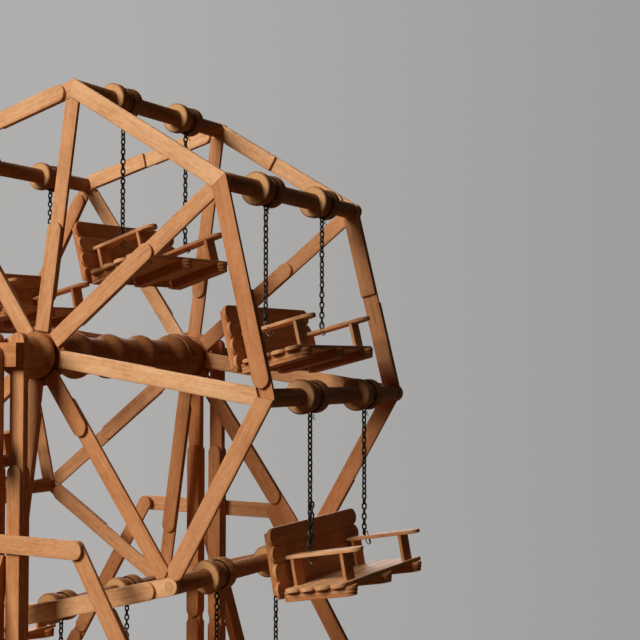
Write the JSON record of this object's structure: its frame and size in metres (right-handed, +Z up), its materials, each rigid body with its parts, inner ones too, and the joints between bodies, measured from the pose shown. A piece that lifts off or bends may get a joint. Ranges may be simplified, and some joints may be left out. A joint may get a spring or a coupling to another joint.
{
  "type": "kinetic ferris wheel sculpture",
  "caption": "Tabletop ferris wheel of craft sticks, dowels and turned spools, whose crank turns the wheel while slatted benches hang level on fine chains.",
  "frame": {"origin": "point on the baseboard's flat underside, straight below the middle of the wheel's hub", "axes": "+Z up, Y along the wheel's axle with the crank at -Y, benches face +X"},
  "size_m": [0.3788, 0.3839, 0.4581],
  "materials": {
    "birch_stick": "bare warm birch with fine straight grain, slightly aged",
    "turned_wood": "darker turned and waxed wood, pale end grain on the spools' flat faces",
    "baseboard": "plain sanded board with eased edges",
    "black_chain": "fine blackened steel chain and wire"
  },
  "bodies": {
    "stand": {"base_board": "baseboard", "near_posts": "birch_stick", "far_posts": "birch_stick", "near_brace": "birch_stick", "far_brace": "birch_stick", "near_leg_left": "birch_stick", "near_leg_right": "birch_stick", "far_leg_left": "birch_stick", "far_leg_right": "birch_stick", "near_strut": "birch_stick", "far_strut": "birch_stick"},
    "wheel": {"hub": "turned_wood", "main_axle": "turned_wood", "near_rim": "birch_stick", "far_rim": "birch_stick", "near_spokes": "birch_stick", "far_spokes": "birch_stick", "crank_arm": "birch_stick", "rim_axle_1": "turned_wood", "rim_axle_2": "turned_wood", "rim_axle_3": "turned_wood", "rim_axle_4": "turned_wood", "rim_axle_5": "turned_wood", "rim_axle_6": "turned_wood", "rim_axle_7": "turned_wood", "rim_axle_8": "turned_wood"},
    "knob": {"crank_knob": "turned_wood"},
    "hanger_1": {"chain_1_near": "black_chain", "chain_1_far": "black_chain"},
    "seat_1": {"seat_1_bench": "birch_stick", "seat_1_back": "birch_stick"},
    "hanger_2": {"chain_2_near": "black_chain", "chain_2_far": "black_chain"},
    "seat_2": {"seat_2_bench": "birch_stick", "seat_2_back": "birch_stick"},
    "hanger_3": {"chain_3_near": "black_chain", "chain_3_far": "black_chain"},
    "seat_3": {"seat_3_bench": "birch_stick", "seat_3_back": "birch_stick"},
    "hanger_4": {"chain_4_near": "black_chain", "chain_4_far": "black_chain"},
    "seat_4": {"seat_4_bench": "birch_stick", "seat_4_back": "birch_stick"},
    "hanger_5": {"chain_5_near": "black_chain", "chain_5_far": "black_chain"},
    "seat_5": {"seat_5_bench": "birch_stick", "seat_5_back": "birch_stick"},
    "hanger_6": {"chain_6_near": "black_chain", "chain_6_far": "black_chain"},
    "seat_6": {"seat_6_bench": "birch_stick", "seat_6_back": "birch_stick"},
    "hanger_7": {"chain_7_near": "black_chain", "chain_7_far": "black_chain"},
    "seat_7": {"seat_7_bench": "birch_stick", "seat_7_back": "birch_stick"},
    "hanger_8": {"chain_8_near": "black_chain", "chain_8_far": "black_chain"},
    "seat_8": {"seat_8_bench": "birch_stick", "seat_8_back": "birch_stick"}
  },
  "joints": [
    {"name": "wheel_spin", "type": "hinge", "parent": "stand", "child": "wheel", "pos_m": [0, 0, 0.3002], "axis": [0, 1, 0], "continuous": true},
    {"name": "knob_spin", "type": "hinge", "parent": "wheel", "child": "knob", "pos_m": [0, -0.1195, 0.2522], "axis": [0, 1, 0], "continuous": true},
    {"name": "hang_1", "type": "hinge", "parent": "wheel", "child": "hanger_1", "pos_m": [0.02207, 0.00306, 0.4479], "axis": [0, 1, 0], "continuous": true},
    {"name": "seat_1_pitch", "type": "hinge", "parent": "hanger_1", "child": "seat_1", "pos_m": [0.02207, 0.00306, 0.3709], "axis": [0, 1, 0], "range_deg": [-5, 10]},
    {"name": "hang_2", "type": "hinge", "parent": "wheel", "child": "hanger_2", "pos_m": [0.12005, 0.00306, 0.38903], "axis": [0, 1, 0], "continuous": true},
    {"name": "seat_2_pitch", "type": "hinge", "parent": "hanger_2", "child": "seat_2", "pos_m": [0.12005, 0.00306, 0.31203], "axis": [0, 1, 0], "range_deg": [-5, 10]},
    {"name": "hang_3", "type": "hinge", "parent": "wheel", "child": "hanger_3", "pos_m": [0.1477, 0.00306, 0.27813], "axis": [0, 1, 0], "continuous": true},
    {"name": "seat_3_pitch", "type": "hinge", "parent": "hanger_3", "child": "seat_3", "pos_m": [0.1477, 0.00306, 0.20113], "axis": [0, 1, 0], "range_deg": [-5, 10]},
    {"name": "hang_4", "type": "hinge", "parent": "wheel", "child": "hanger_4", "pos_m": [0.08883, 0.00306, 0.18015], "axis": [0, 1, 0], "continuous": true},
    {"name": "seat_4_pitch", "type": "hinge", "parent": "hanger_4", "child": "seat_4", "pos_m": [0.08883, 0.00306, 0.10315], "axis": [0, 1, 0], "range_deg": [-5, 10]},
    {"name": "hang_5", "type": "hinge", "parent": "wheel", "child": "hanger_5", "pos_m": [-0.02207, 0.00306, 0.1525], "axis": [0, 1, 0], "continuous": true},
    {"name": "seat_5_pitch", "type": "hinge", "parent": "hanger_5", "child": "seat_5", "pos_m": [-0.02207, 0.00306, 0.0755], "axis": [0, 1, 0], "range_deg": [-5, 10]},
    {"name": "hang_6", "type": "hinge", "parent": "wheel", "child": "hanger_6", "pos_m": [-0.12005, 0.00306, 0.21137], "axis": [0, 1, 0], "continuous": true},
    {"name": "seat_6_pitch", "type": "hinge", "parent": "hanger_6", "child": "seat_6", "pos_m": [-0.12005, 0.00306, 0.13437], "axis": [0, 1, 0], "range_deg": [-5, 10]},
    {"name": "hang_7", "type": "hinge", "parent": "wheel", "child": "hanger_7", "pos_m": [-0.1477, 0.00306, 0.32227], "axis": [0, 1, 0], "continuous": true},
    {"name": "seat_7_pitch", "type": "hinge", "parent": "hanger_7", "child": "seat_7", "pos_m": [-0.1477, 0.00306, 0.24527], "axis": [0, 1, 0], "range_deg": [-5, 10]},
    {"name": "hang_8", "type": "hinge", "parent": "wheel", "child": "hanger_8", "pos_m": [-0.08883, 0.00306, 0.42025], "axis": [0, 1, 0], "continuous": true},
    {"name": "seat_8_pitch", "type": "hinge", "parent": "hanger_8", "child": "seat_8", "pos_m": [-0.08883, 0.00306, 0.34325], "axis": [0, 1, 0], "range_deg": [-5, 10]}
  ],
  "couplings": [
    {"joint": "hang_1", "follows": "wheel_spin", "ratio": -1},
    {"joint": "hang_2", "follows": "wheel_spin", "ratio": -1},
    {"joint": "hang_3", "follows": "wheel_spin", "ratio": -1},
    {"joint": "hang_4", "follows": "wheel_spin", "ratio": -1},
    {"joint": "hang_5", "follows": "wheel_spin", "ratio": -1},
    {"joint": "hang_6", "follows": "wheel_spin", "ratio": -1},
    {"joint": "hang_7", "follows": "wheel_spin", "ratio": -1},
    {"joint": "hang_8", "follows": "wheel_spin", "ratio": -1}
  ]
}
